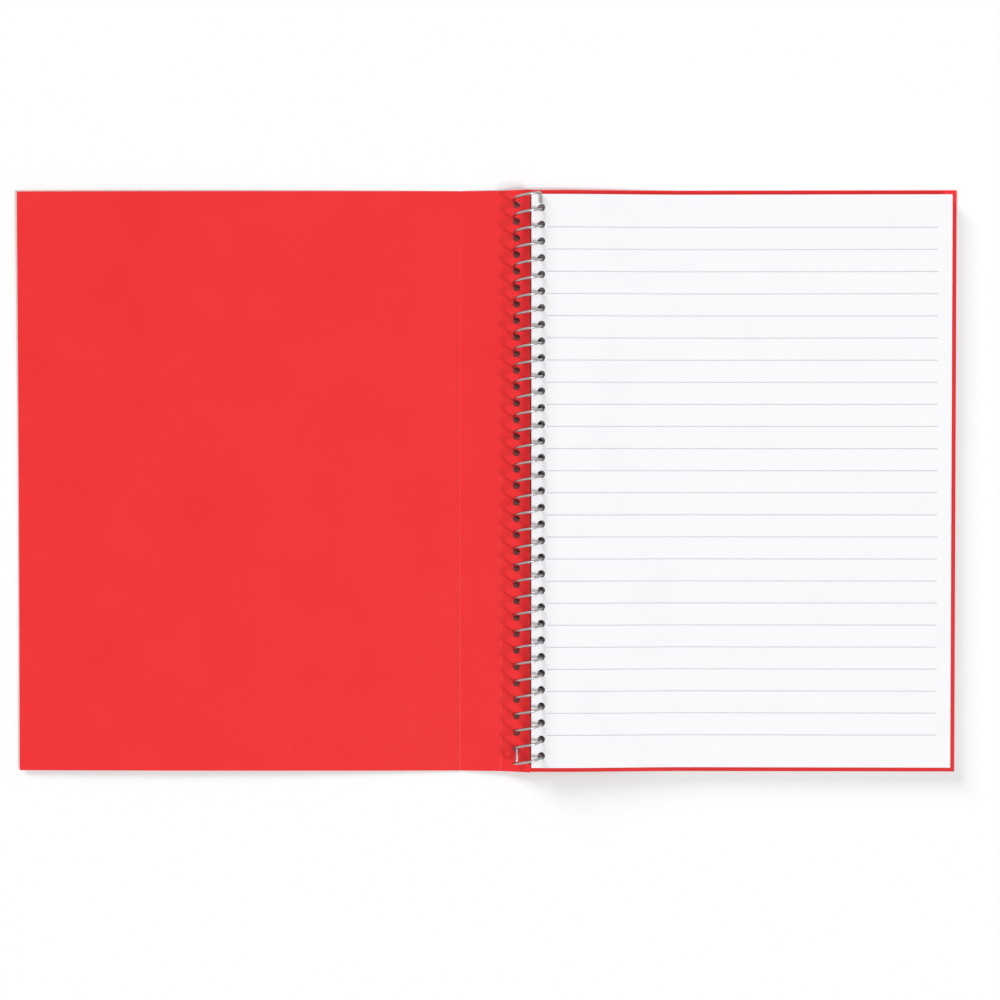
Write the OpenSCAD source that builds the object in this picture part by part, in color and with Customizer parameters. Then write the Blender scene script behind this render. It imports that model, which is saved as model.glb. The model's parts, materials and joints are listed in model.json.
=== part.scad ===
// Open spiral notebook lying flat: a wrapped front cover opened to the left, a block of pages and a
// back cover to the right, and one wire coil through all of them.
// Millimetres, Z up, the table at Z = 0. The coil runs along Y, and the top of the page faces +Y.

/* [Pages] */
// Width of a page, from its punched edge to its outer edge
page_w = 158.75; // [90:0.05:220]
// Height of a page, along the coil
page_h = 215.9; // [100:0.1:300]
// Thickness of the whole block of pages
block_t = 5; // [2:0.25:6]
// Gap from the coil's axis to the punched edge of the pages
page_inset = 0.55; // [0.2:0.05:1]

/* [Cover card] */
// Thickness of the cover card
card_t = 0.45; // [0.3:0.05:0.7]
// How far the covers stand out past the top and the bottom of the pages
overhang_end = 2.35; // [0:0.05:6]
// How far the back cover stands out past the outer edge of the pages
overhang_side = 2.9; // [0:0.1:8]

/* [Front cover panels] */
// From the free edge of the flap to the middle of its holes
flap_margin = 3.4; // [2.4:0.1:3.6]
// From the middle of the flap's holes to the first score
flap_w = 5.85; // [4:0.05:9]
// Width of the spine panel, between the two scores
spine_w = 15.5; // [14:0.1:20]
// Width of the front panel
front_w = 168.8; // [100:0.1:230]
// Slope of the flap, which climbs towards the coil, in degrees
flap_tilt = 14; // [11:0.5:16]
// Height that the outer edge of the front panel curls up from the table
curl_h = 2.3; // [0:0.1:6]
// Share of the front panel's width that lies flat before the curl starts
flat_share = 0.35; // [0.1:0.05:0.8]

/* [Scores] */
// Width of the pressed score on the inside of a fold
score_w = 1.2; // [0.6:0.1:2]
// Depth of the pressed score
score_depth = 0.22; // [0.05:0.01:0.25]

/* [Holes] */
// From each end of the page to the middle of the nearest hole
row_margin = 4.825; // [3.5:0.025:8]
// Wanted distance between neighbouring holes, evened out over the row
pitch_wanted = 6.25; // [5.6:0.05:6.3]
// Diameter of a punched hole
hole_d = 3.3; // [3.1:0.05:3.8]
// How far the flap's holes sit up the page from the holes in the pages
flap_hole_shift = 1.5; // [1.3:0.05:2.2]

/* [Wire coil] */
// Outer diameter of the coil
coil_d = 12; // [11.4:0.1:13]
// Diameter of the wire
wire_d = 1; // [0.6:0.05:1.1]
// Bend radius where each end of the wire turns along the coil
end_bend_r = 1.2; // [0.8:0.1:1.6]
// Length of the straight tail at the head of the page
head_tail = 2.6; // [1:0.1:3]
// Length of the straight tail at the foot of the page
foot_tail = 4.4; // [1:0.1:5]
// How far the foot's tail is pinched in towards the coil's axis
foot_pinch = 1.1; // [1.05:0.05:1.4]

/* [Hidden] */

// Colours of the pieces
cover_red = [0.87, 0.05, 0.06];
paper_white = [0.95, 0.95, 0.97];
wire_grey = [0.62, 0.62, 0.63];

// Height of the covers, and the row of holes, whose spacing is also the coil's pitch
cover_h = page_h + 2 * overhang_end;
row_h = page_h - 2 * row_margin;
row_top = row_h / 2;
hole_count = round(row_h / pitch_wanted) + 1;
pitch = row_h / (hole_count - 1);

// Coil: angles are measured round its axis from +X towards +Z, and grow as the wire runs down the page
coil_r = (coil_d - wire_d) / 2;
coil_z = coil_d / 2;
turn_steps = 16;
wire_sides = 8;
bend_steps = 6;
step_angle = 360 / turn_steps;
phase_angle = -22;
helix_slope = atan(pitch / (2 * PI * coil_r));
// Coil angle that one end bend takes up
bend_angle = end_bend_r * (1 + sin(helix_slope)) / coil_r * 180 / PI;

// The pages and the back cover rest on the wire at the inner side of their holes, and sag to the table
wire_gap = 0.3;
hole_inset = 0.55;
hole_x = coil_r - hole_inset;
hole_inner_x = hole_x - hole_d / 2;
stack_lift = coil_z + wire_gap - sqrt(pow(coil_r - wire_d / 2, 2) - pow(hole_inner_x, 2));
level_w = hole_x + hole_d;
sag_w = 55;
sag_end = level_w + sag_w;
sag_steps = 14;
page_right = page_inset + page_w;
back_right = page_right + overhang_side;
stack_top = stack_lift + card_t + block_t;

// The wire's head ends in a tail that lies just above the top page, and its foot ends beside the flap's row
tail_gap = 0.2;
head_tail_angle = asin((stack_top + tail_gap + wire_d / 2 - coil_z) / coil_r);
head_angle = head_tail_angle + bend_angle - 360;
foot_angle = (hole_count - 1) * 360 + 180;

// Coil angle at which the wire passes through the flap
flap_cross = 217;
flap_hole = [coil_r * cos(flap_cross), coil_z + coil_r * sin(flap_cross)];
flap_dir = [cos(flap_tilt), sin(flap_tilt)];
flap_free = flap_hole + flap_margin * flap_dir;
score_1 = flap_hole - flap_w * flap_dir;
score_2_z = card_t / 2;
spine_tilt = asin((score_1[1] - score_2_z) / spine_w);
spine_dir = [cos(spine_tilt), sin(spine_tilt)];
score_2 = score_1 - spine_w * spine_dir;
curl_steps = 12;
front_left = score_2[0] - front_w;

// The model's origin is under the middle of the whole notebook
middle_x = (front_left + back_right) / 2;

// Smooth step from 0 to 1
function ease(t) = let (u = max(0, min(1, t))) u * u * (3 - 2 * u);

// Height of the underside of the back cover at distance x from the coil's axis
function sag(x) = stack_lift * (1 - ease((x - level_w) / (sag_end - level_w)));

// Points along the underside of the stack, from one x to another
function sag_line(x0, x1, lift) = concat(
    [[x0, sag(x0) + lift]],
    [for (i = [0 : sag_steps]) let (x = level_w + (sag_end - level_w) * i / sag_steps)
        if (x > x0 && x < x1) [x, sag(x) + lift]],
    [[x1, sag(x1) + lift]]);

// Middle line of the front panel: flat from the second score, then curling up as a square law
function front_point(s) = let (u = max(0, s / front_w - flat_share) / (1 - flat_share))
    [score_2[0] - s, score_2_z + curl_h * u * u];

// Reverses a list
function flip(list) = [for (i = [len(list) - 1 : -1 : 0]) list[i]];

// Unit normal, upwards, of a panel of some slope
function up_normal(slope) = [-sin(slope), cos(slope)];

// A score's upright dividing line halves the angle between its two panels. The fold turns about the bottom
// of the pressed groove, and the card's outer side is a corner below it.
fold_1 = up_normal((flap_tilt + spine_tilt) / 2);
fold_2 = up_normal(spine_tilt / 2);
axis_1 = score_1 + fold_1 * (card_t / 2 - score_depth);
axis_2 = score_2 + fold_2 * (card_t / 2 - score_depth);
corner_1 = score_1 - fold_1 * card_t / 2 / cos((flap_tilt - spine_tilt) / 2);
corner_2 = score_2 - fold_2 * card_t / 2 / cos(spine_tilt / 2);

// Point on the unrolled coil (s round it, y along it), bent by a turn of the wire of radius end_bend_r
function bend_point(start, heading, a) = let (
    centre = start + end_bend_r * [-sin(heading), cos(heading)])
    centre + end_bend_r * [sin(heading + a), -cos(heading + a)];

// Height along Y of the wire at a coil angle
function helix_y(a) = row_top - pitch * (a - phase_angle) / 360;

// Unrolled point, as length round the coil and place along Y, of the wire at a coil angle
function unrolled(a) = [a * PI / 180 * coil_r, helix_y(a)];

// Point in space and outward direction for an unrolled point pinched in by some length
function wrapped(p, pinch) = let (a = p[0] / coil_r * 180 / PI, r = coil_r - pinch)
    [[r * cos(a), p[1], coil_z + r * sin(a)], [cos(a), 0, sin(a)]];

// One bent end of the wire: the bend and then a straight tail along the coil
function wire_end(a, heading, tail, pinch) = let (
    start = unrolled(a), last = 90 + helix_slope, tip = bend_point(start, heading, last),
    way = [cos(heading + last), sin(heading + last)])
    concat(
        [for (i = [1 : bend_steps]) wrapped(bend_point(start, heading, last * i / bend_steps),
            pinch * ease(i / bend_steps))],
        [wrapped(tip + tail * way, pinch)]);

// The whole wire, head to foot, as a list of [point, outward direction]
wire_path = concat(
    flip(wire_end(head_angle, 180 - helix_slope, head_tail, 0)),
    [wrapped(unrolled(head_angle), 0)],
    [for (i = [ceil(head_angle / step_angle + 0.2) : round(foot_angle / step_angle)])
        wrapped(unrolled(i * step_angle), 0)],
    wire_end(foot_angle, -helix_slope, foot_tail, foot_pinch));

// Direction of the wire at the i-th place of its path
function path_dir(i) = let (
    a = wire_path[max(0, i - 1)][0], b = wire_path[min(len(wire_path) - 1, i + 1)][0]) (b - a) / norm(b - a);

// Ring of points round the i-th place of the path
function ring(i) = let (
    t = path_dir(i), out = wire_path[i][1], n0 = out - (out * t) * t, n = n0 / norm(n0), b = cross(t, n))
    [for (k = [0 : wire_sides - 1]) let (a = 360 * k / wire_sides)
        wire_path[i][0] + wire_d / 2 * (cos(a) * n + sin(a) * b)];

// The wire, swept along its path as one closed solid
module wire_coil() {
    rings = len(wire_path);
    points = [for (i = [0 : rings - 1]) each ring(i)];
    sides = [for (i = [0 : rings - 2], k = [0 : wire_sides - 1], half = [0, 1]) let (
        a = i * wire_sides + k, b = i * wire_sides + (k + 1) % wire_sides)
        half == 0 ? [a, a + wire_sides, b + wire_sides] : [a, b + wire_sides, b]];
    caps = [
        [for (k = [0 : wire_sides - 1]) k],
        [for (k = [wire_sides - 1 : -1 : 0]) (rings - 1) * wire_sides + k]];
    color(wire_grey) translate([-middle_x, 0, 0]) polyhedron(points = points, faces = concat(sides, caps));
}

// Extrudes an X-Z outline along Y, centred on the middle of the coil
module along_coil(length) {
    rotate([90, 0, 0]) linear_extrude(height = length, center = true) children();
}

// Row of punches, each standing at a hole of the pages
module punch_row(x, shift) {
    for (k = [0 : hole_count - 1]) translate([x, row_top - k * pitch + shift, 0]) children();
}

// Stack piece between the underside line raised by bottom and the same line raised by top
module stack_piece(right, bottom, top, length) {
    difference() {
        along_coil(length) polygon(concat(
            sag_line(page_inset, right, bottom), flip(sag_line(page_inset, right, top))));
        punch_row(hole_x, 0) cylinder(h = 4 * (stack_lift + top), d = hole_d, center = true, $fn = 48);
    }
}

module page_block() {
    color(paper_white) translate([-middle_x, 0, 0]) stack_piece(page_right, card_t, card_t + block_t, page_h);
}

module back_cover() {
    color(cover_red) translate([-middle_x, 0, 0]) stack_piece(back_right, 0, card_t, cover_h);
}

// Flap between the first score and its free edge, punched square to its own slope
module cover_flap() {
    up = up_normal(flap_tilt) * card_t / 2;
    color(cover_red) translate([-middle_x, 0, 0]) difference() {
        along_coil(cover_h) polygon([
            corner_1, axis_1, score_1 + up + flap_dir * score_w / 2, flap_free + up, flap_free - up]);
        punch_row(flap_hole[0], flap_hole_shift) translate([0, 0, flap_hole[1]]) rotate([0, -flap_tilt, 0])
            cylinder(h = 4 * card_t, d = hole_d, center = true, $fn = 48);
    }
}

// Spine panel between the two scores
module cover_spine() {
    up = up_normal(spine_tilt) * card_t / 2;
    half_score = spine_dir * score_w / 2;
    color(cover_red) translate([-middle_x, 0, 0]) along_coil(cover_h) polygon([
        corner_2, axis_2, score_2 + up + half_score, score_1 + up - half_score, axis_1, corner_1]);
}

// Front panel: flat beside the second score, curling up towards its outer edge
module front_cover() {
    up = [0, card_t / 2];
    flat_end = flat_share * front_w;
    line = [for (i = [0 : curl_steps]) front_point(flat_end + (front_w - flat_end) * i / curl_steps)];
    top = [for (p = line) p + up];
    bottom = [for (p = flip(line)) p - up];
    color(cover_red) translate([-middle_x, 0, 0]) along_coil(cover_h)
        polygon(concat([axis_2, score_2 + up - [score_w / 2, 0]], top, bottom, [corner_2]));
}

wire_coil();
page_block();
back_cover();
cover_flap();
cover_spine();
front_cover();
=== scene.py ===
"""Open spiral notebook, dressed for the render.

A wrap-over front cover lies open to the left of one wire coil, and a block of ruled pages on its back
cover lies to the right. Every shape is worked out in millimetres in the coil's own frame: X runs across
the notebook from the coil's axis, Y runs up the page along the coil, and Z is up from the table. One
step, CoilFrame.to_row, then takes the points into the frame's metres.

A sheet has coordinates of its own: s runs across it from an edge, y is the Y of the coil's frame, and h
goes through its thickness. Its UV map is s and y in shares of UV_SPAN.
"""

import json
import logging
import math
from dataclasses import dataclass
from enum import Enum
from typing import Callable

import bpy
import numpy as np
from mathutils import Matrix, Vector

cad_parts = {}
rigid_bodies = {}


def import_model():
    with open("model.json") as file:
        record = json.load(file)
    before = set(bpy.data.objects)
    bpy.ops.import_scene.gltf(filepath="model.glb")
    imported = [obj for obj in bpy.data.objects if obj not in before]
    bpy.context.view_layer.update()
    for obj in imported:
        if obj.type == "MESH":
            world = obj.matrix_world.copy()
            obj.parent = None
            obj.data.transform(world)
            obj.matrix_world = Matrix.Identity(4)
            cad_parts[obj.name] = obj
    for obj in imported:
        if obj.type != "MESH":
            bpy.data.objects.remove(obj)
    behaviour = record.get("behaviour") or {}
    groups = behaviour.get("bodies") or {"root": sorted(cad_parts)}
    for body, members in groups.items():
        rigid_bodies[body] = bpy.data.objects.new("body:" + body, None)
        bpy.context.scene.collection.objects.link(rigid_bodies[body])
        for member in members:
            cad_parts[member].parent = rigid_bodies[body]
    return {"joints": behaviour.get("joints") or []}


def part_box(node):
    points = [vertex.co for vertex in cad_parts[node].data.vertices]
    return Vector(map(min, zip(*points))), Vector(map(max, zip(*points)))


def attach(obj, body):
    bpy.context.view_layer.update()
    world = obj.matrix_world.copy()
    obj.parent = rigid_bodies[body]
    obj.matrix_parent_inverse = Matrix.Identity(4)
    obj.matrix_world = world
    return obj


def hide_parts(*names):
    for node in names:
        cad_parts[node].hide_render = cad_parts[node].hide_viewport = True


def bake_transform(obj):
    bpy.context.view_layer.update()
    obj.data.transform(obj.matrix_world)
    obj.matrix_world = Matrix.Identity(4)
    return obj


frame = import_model()

LOG = logging.getLogger("notebook")
MM = 0.001
UV_NAME = "sheet"
# In millimetres: the side of the UV square, and how close points and grid lines come before they are one.
UV_SPAN = 222.0
WELD_STEP = 1e-4
LINE_GAP = 0.01
SHARP_ANGLE = math.radians(28)
WHITE = (1.0, 1.0, 1.0)

Triple = tuple[float, float, float]
Range = tuple[float, float]
Surface = Callable[[np.ndarray, np.ndarray, np.ndarray], np.ndarray]
Material = bpy.types.Material
Socket = bpy.types.NodeSocket


class Slot(Enum):
    """The record's material slots."""

    CARD = "cover_card"
    PAPER = "page_paper"
    WIRE = "coil_wire"


class Body(Enum):
    """The bodies that pieces ride on."""

    BLOCK = "bound_block"
    SPINE = "spine_panel"
    FRONT = "front_panel"
    BACK = "back_panel"


def ease(t: np.ndarray) -> np.ndarray:
    """Smooth step from 0 to 1: u squared times (3 minus 2 u), with u the argument held between 0 and 1.

    Args:
        t: Places along the step.

    Returns:
        The eased values.
    """
    u = np.clip(t, 0.0, 1.0)
    return u * u * (3.0 - 2.0 * u)


def spread(start: float, end: float, step: float) -> np.ndarray:
    """Evenly spaced places from start to end, both included, about a step apart."""
    return np.linspace(start, end, max(1, round((end - start) / step)) + 1)


def lines_through(*groups: np.ndarray) -> np.ndarray:
    """Joins groups of grid lines in order, without the doubles.

    Args:
        groups: Arrays of places.

    Returns:
        The sorted places, none closer than LINE_GAP to the next.
    """
    places = np.sort(np.concatenate(groups))
    return places[np.concatenate([[True], np.diff(places) > LINE_GAP])]


def grid_quads(rows: int, columns: int) -> np.ndarray:
    """Quads between the neighbours of a grid of points that is numbered row by row.

    Args:
        rows: Number of rows of points.
        columns: Number of points in a row.

    Returns:
        Point numbers of each quad, one row of four for each.
    """
    index = np.arange(rows * columns).reshape(rows, columns)
    corners = [index[:-1, :-1], index[1:, :-1], index[1:, 1:], index[:-1, 1:]]
    return np.stack(corners, axis=-1).reshape(-1, 4)


def tube_quads(*shape: int) -> np.ndarray:
    """Quads of tubes, each a run of closed loops of points, numbered loop by loop and tube by tube.

    Args:
        shape: Number of tubes where there are several, then of loops in a tube and of points in a loop.

    Returns:
        Point numbers of each quad, one row of four for each.
    """
    index = np.arange(math.prod(shape)).reshape(shape)
    following = np.roll(index, -1, axis=-1)
    corners = [index[..., :-1, :], index[..., 1:, :], following[..., 1:, :], following[..., :-1, :]]
    return np.stack(corners, axis=-1).reshape(-1, 4)


def sheet_uv(s: np.ndarray, y: np.ndarray) -> np.ndarray:
    """UV of places on a sheet: s, and y from the square's middle, as shares of UV_SPAN."""
    return np.stack([s / UV_SPAN, (y + UV_SPAN / 2) / UV_SPAN], axis=-1)


def linked(name: str, data: bpy.types.ID) -> bpy.types.Object:
    """Makes an object and puts it in the scene.

    Args:
        name: Name of the object.
        data: Its mesh, lamp or camera.

    Returns:
        The object.
    """
    made = bpy.data.objects.new(name, data)
    bpy.context.scene.collection.objects.link(made)
    return made


@dataclass(frozen=True)
class CoilFrame:
    """Where the coil's axis stands in the row frame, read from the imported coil."""

    axis_x: float

    @classmethod
    def from_nodes(cls) -> "CoilFrame":
        """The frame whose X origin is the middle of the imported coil."""
        low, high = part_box("wire_coil")
        return cls(axis_x=(low.x + high.x) / 2)

    def to_row(self, points: np.ndarray) -> np.ndarray:
        """Takes millimetres in the coil's frame to metres in the row frame.

        Args:
            points: Array whose last axis is X, Y, Z.

        Returns:
            The same points in metres, moved along X by the place of the coil's axis.
        """
        return points * MM + np.array([self.axis_x, 0.0, 0.0])


@dataclass(frozen=True)
class Binding:
    """Sizes that the coil, the pages and the covers share, in millimetres and degrees.

    The first and last holes stand row_margin in from the page's ends, and the covers overhang those ends
    by overhang_end. The stack starts page_inset from the coil's axis, with its holes hole_inset inside
    the wire's circle. It rests on the wire over a gap of wire_gap, and sinks to the table over sag_w. The
    wire is level with the pages' holes at phase_angle round the coil.
    """

    page_h: float = 215.9
    row_margin: float = 4.825
    hole_count: int = 34
    hole_d: float = 3.3
    coil_d: float = 12.0
    wire_d: float = 1.0
    card_t: float = 0.45
    block_t: float = 5.0
    overhang_end: float = 2.35
    page_inset: float = 0.55
    hole_inset: float = 0.55
    wire_gap: float = 0.3
    phase_angle: float = -22.0
    sag_w: float = 55.0

    @property
    def pitch(self) -> float:
        """Distance between neighbouring holes, which is also the coil's pitch."""
        return 2 * self.row_top / (self.hole_count - 1)

    @property
    def row_top(self) -> float:
        """Y of the first hole of the pages."""
        return self.page_h / 2 - self.row_margin

    @property
    def cover_h(self) -> float:
        """Height of the covers."""
        return self.page_h + 2 * self.overhang_end

    @property
    def coil_r(self) -> float:
        """Radius of the coil, to the middle of its wire."""
        return (self.coil_d - self.wire_d) / 2

    @property
    def hole_x(self) -> float:
        """X of the holes in the pages and in the back cover."""
        return self.coil_r - self.hole_inset

    @property
    def stack_lift(self) -> float:
        """Height at which the back cover rests on the wire, at the inner side of its holes."""
        inner = self.hole_x - self.hole_d / 2
        return self.coil_d / 2 + self.wire_gap - math.sqrt((self.coil_r - self.wire_d / 2) ** 2 - inner**2)

    @property
    def stack_t(self) -> float:
        """Thickness of the back cover and the pages together."""
        return self.card_t + self.block_t

    @property
    def hole_s(self) -> float:
        """Place of the holes across the pages and the back cover, from the punched edge."""
        return self.hole_x - self.page_inset

    def row(self, s: float, hole_d: float, shift: float, sides: int) -> "HoleRow":
        """The row of holes in one sheet, from the foot of the page to its head.

        Args:
            s: Place of the row across the sheet.
            hole_d: Diameter of the holes.
            shift: How far the holes stand above their place on the coil.
            sides: Number of points round a hole.

        Returns:
            The row.
        """
        centres = self.row_top - self.pitch * np.arange(self.hole_count)[::-1] + shift
        return HoleRow(s, hole_d / 2, centres, self.pitch / 2, sides)

    def across(self, row: "HoleRow", start: float, end: float, near: float, far: float) -> np.ndarray:
        """Grid lines across a sheet of the stack: through the holes, close over the sag, wider past it.

        Args:
            row: The sheet's holes.
            start: Place of the punched edge.
            end: Place of the outer edge.
            near: Distance between lines over the sag.
            far: Distance between lines past it.

        Returns:
            The places of the lines.
        """
        cell_end = row.s + row.cell
        sag_end = cell_end + self.sag_w
        return lines_through(
            np.array([start]), row.across(), spread(cell_end, sag_end, near), spread(sag_end, end, far))

    def sag(self, x: np.ndarray) -> np.ndarray:
        """Height of the underside of the stack: lifted by the coil, then easing down to the table.

        Args:
            x: Distance from the coil's axis.

        Returns:
            stack_lift times one minus the smooth step that starts a hole's width past the holes.
        """
        return self.stack_lift * (1.0 - ease((x - self.hole_x - self.hole_d) / self.sag_w))

    def lay(self, s: np.ndarray, y: np.ndarray, h: np.ndarray) -> np.ndarray:
        """Lays a sheet on the stack: x is s from the punched edge, and z is the sag plus h."""
        x = self.page_inset + s
        return np.stack([x, y, self.sag(x) + h], axis=-1)


@dataclass(frozen=True)
class MeshParts:
    """Points, quads and marks of a closed shape in sheet coordinates: s across, y along, h through it."""

    points: np.ndarray
    quads: np.ndarray
    walls: np.ndarray


@dataclass(frozen=True)
class HoleRow:
    """A row of round holes punched through a sheet, each in a square cell twice as wide as cell says."""

    s: float
    radius: float
    centres: np.ndarray
    cell: float
    sides: int
    layers: tuple[float, ...] = (0.0, 0.14, 0.45, 1.0)

    def cell_lines(self) -> np.ndarray:
        """Places along a cell's border, from its middle: cell times the tangents of equal steps of angle."""
        return self.cell * np.tan(np.linspace(-math.pi / 4, math.pi / 4, self.sides // 4 + 1))

    def across(self) -> np.ndarray:
        """Grid lines across the row."""
        return self.s + self.cell_lines()

    def along(self, half_h: float) -> np.ndarray:
        """Grid lines along the row: through the cells, at the sheet's ends, and halfway to each end.

        Args:
            half_h: Half the sheet's height.

        Returns:
            The places of the lines in Y.
        """
        cells = (self.centres[:, None] + self.cell_lines()[None, :]).reshape(-1)
        foot = np.array([-half_h, (-half_h + cells.min()) / 2])
        head = np.array([(half_h + cells.max()) / 2, half_h])
        return lines_through(foot, cells, head)

    def middles(self) -> np.ndarray:
        """Middle of every hole, as (s, y)."""
        return np.stack([np.full(len(self.centres), self.s), self.centres], axis=-1)

    def rays(self) -> np.ndarray:
        """Unit directions from a hole's middle to each point of its rim."""
        turn = 2 * math.pi * np.arange(self.sides) / self.sides
        return np.stack([np.cos(turn), np.sin(turn)], axis=-1)

    def rims(self, radius: float) -> np.ndarray:
        """Points of the rim of every hole, at some radius."""
        return self.middles()[:, None, :] + radius * self.rays()[None, :, :]

    def rings(self, radius: float) -> tuple[np.ndarray, np.ndarray]:
        """Rings that grow from each round rim to the square border of its cell.

        Along a ray in direction d the border lies at cell / max(abs(d)), and a layer t lies at the share
        t of the way from the rim to the border.

        Args:
            radius: Radius of the rim.

        Returns:
            The points as (s, y) and the quads between the rings.
        """
        rays = self.rays()
        border = self.cell / np.abs(rays).max(axis=1)
        reach = radius + (border[None, :] - radius) * np.array(self.layers)[:, None]
        points = self.middles()[:, None, None, :] + reach[None, :, :, None] * rays[None, None, :, :]
        return points.reshape(-1, 2), tube_quads(*points.shape[:3])


@dataclass(frozen=True)
class Wall:
    """Profile of a cut edge, from the top face to the bottom face.

    Each row gives a height through the sheet, how far it stands out from the rim of the faces, and how
    far it is shifted along s and along y.
    """

    rows: np.ndarray

    @classmethod
    def plain(cls, low: float, high: float, bevel: float) -> "Wall":
        """A straight cut with a fine bevel at both faces.

        Args:
            low: Height of the bottom face.
            high: Height of the top face.
            bevel: Width of the bevel.

        Returns:
            The wall.
        """
        heights = [high, high - bevel, low + bevel, low]
        stands = [0.0, bevel, bevel, 0.0]
        return cls(np.stack([heights, stands, np.zeros(4), np.zeros(4)], axis=-1))


@dataclass(frozen=True)
class Sheet:
    """A sheet with square corners and, if it has a row, round holes, as a closed mesh of quads."""

    s_lines: np.ndarray
    y_lines: np.ndarray
    edge: Wall
    inset: float
    row: HoleRow | None = None
    hole_wall: Wall | None = None

    def lines(self) -> tuple[np.ndarray, np.ndarray]:
        """Grid lines of a face, with the outer ones drawn in by the inset.

        Returns:
            The lines' places in s and in y.
        """
        s, y = self.s_lines.copy(), self.y_lines.copy()
        for places in (s, y):
            places[[0, -1]] += self.inset, -self.inset
        return s, y

    def face(self) -> tuple[np.ndarray, np.ndarray]:
        """One face in (s, y): the grid of lines, with the rings of each hole in place of its cell.

        Returns:
            Points and quads, which are counter-clockwise seen from above.
        """
        s, y = self.lines()
        points = np.stack(np.meshgrid(s, y, indexing="ij"), axis=-1).reshape(-1, 2)
        quads = grid_quads(len(s), len(y))
        if self.row is None:
            return points, quads
        middle = points[quads].mean(axis=1)
        beside = np.abs(middle[:, 1][:, None] - self.row.centres[None, :]).min(axis=1)
        in_cell = (np.abs(middle[:, 0] - self.row.s) < self.row.cell) & (beside < self.row.cell)
        ring_points, ring_quads = self.row.rings(self.row.radius + self.inset)
        quads = np.concatenate([quads[~in_cell], ring_quads + len(points)])
        return np.concatenate([points, ring_points]), quads

    def outline(self) -> tuple[np.ndarray, np.ndarray]:
        """Outer rim of a face, counter-clockwise: along the foot, the right side, the head and the left.

        Returns:
            The points, and the direction in which each looks outwards.
        """
        s, y = self.lines()
        foot = np.stack([s[:-1], np.full(len(s) - 1, y[0])], axis=-1)
        right = np.stack([np.full(len(y) - 1, s[-1]), y[:-1]], axis=-1)
        head = np.stack([s[:0:-1], np.full(len(s) - 1, y[-1])], axis=-1)
        left = np.stack([np.full(len(y) - 1, s[0]), y[:0:-1]], axis=-1)
        rim = np.concatenate([foot, right, head, left])
        out = np.stack([
            (rim[:, 0] == s[-1]).astype(float) - (rim[:, 0] == s[0]),
            (rim[:, 1] == y[-1]).astype(float) - (rim[:, 1] == y[0]),
        ], axis=-1)
        return rim, out

    @staticmethod
    def skirt(rims: np.ndarray, out: np.ndarray, wall: Wall) -> tuple[np.ndarray, np.ndarray]:
        """Walls that follow closed rims, one ring of points for each row of the wall's profile.

        Args:
            rims: Points of each rim as (s, y), in an array of rims by points by 2.
            out: Outward direction at each point, in an array of points by 2.
            wall: Profile of the wall, from top to bottom.

        Returns:
            The points as (s, y, h) and the quads.
        """
        height, stand, shift_s, shift_y = wall.rows.T
        shift = np.stack([shift_s, shift_y], axis=-1)
        flat = rims[:, None] + out[None, None] * stand[None, :, None, None] + shift[None, :, None]
        tall = np.broadcast_to(height[None, :, None, None], flat.shape[:3] + (1,))
        return np.concatenate([flat, tall], axis=-1).reshape(-1, 3), tube_quads(*flat.shape[:3])

    def build(self) -> MeshParts:
        """The closed sheet: a top face, a bottom face, the outer wall and the walls of the holes.

        Returns:
            The welded parts, with each wall's quads marked.
        """
        flat, quads = self.face()
        high, low = self.edge.rows[0, 0], self.edge.rows[-1, 0]
        faces = [
            (np.column_stack([flat, np.full(len(flat), high)]), quads, False),
            (np.column_stack([flat, np.full(len(flat), low)]), quads[:, ::-1], False),
        ]
        rim, out = self.outline()
        faces.append((*self.skirt(rim[None], out, self.edge), True))
        if self.row is not None:
            rims = self.row.rims(self.row.radius + self.inset)[:, ::-1]
            wall = self.hole_wall or self.edge
            faces.append((*self.skirt(rims, -self.row.rays()[::-1], wall), True))
        starts = np.cumsum([0] + [len(points) for points, _, _ in faces[:-1]])
        points = np.concatenate([points for points, _, _ in faces])
        numbers = np.concatenate([part + start for (_, part, _), start in zip(faces, starts)])
        walls = np.concatenate([np.full(len(part), is_wall) for _, part, is_wall in faces])
        _, first, merged = np.unique(
            np.round(points / WELD_STEP).astype(np.int64), axis=0, return_index=True, return_inverse=True)
        return MeshParts(points[first], merged.reshape(-1)[numbers], walls)


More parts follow.
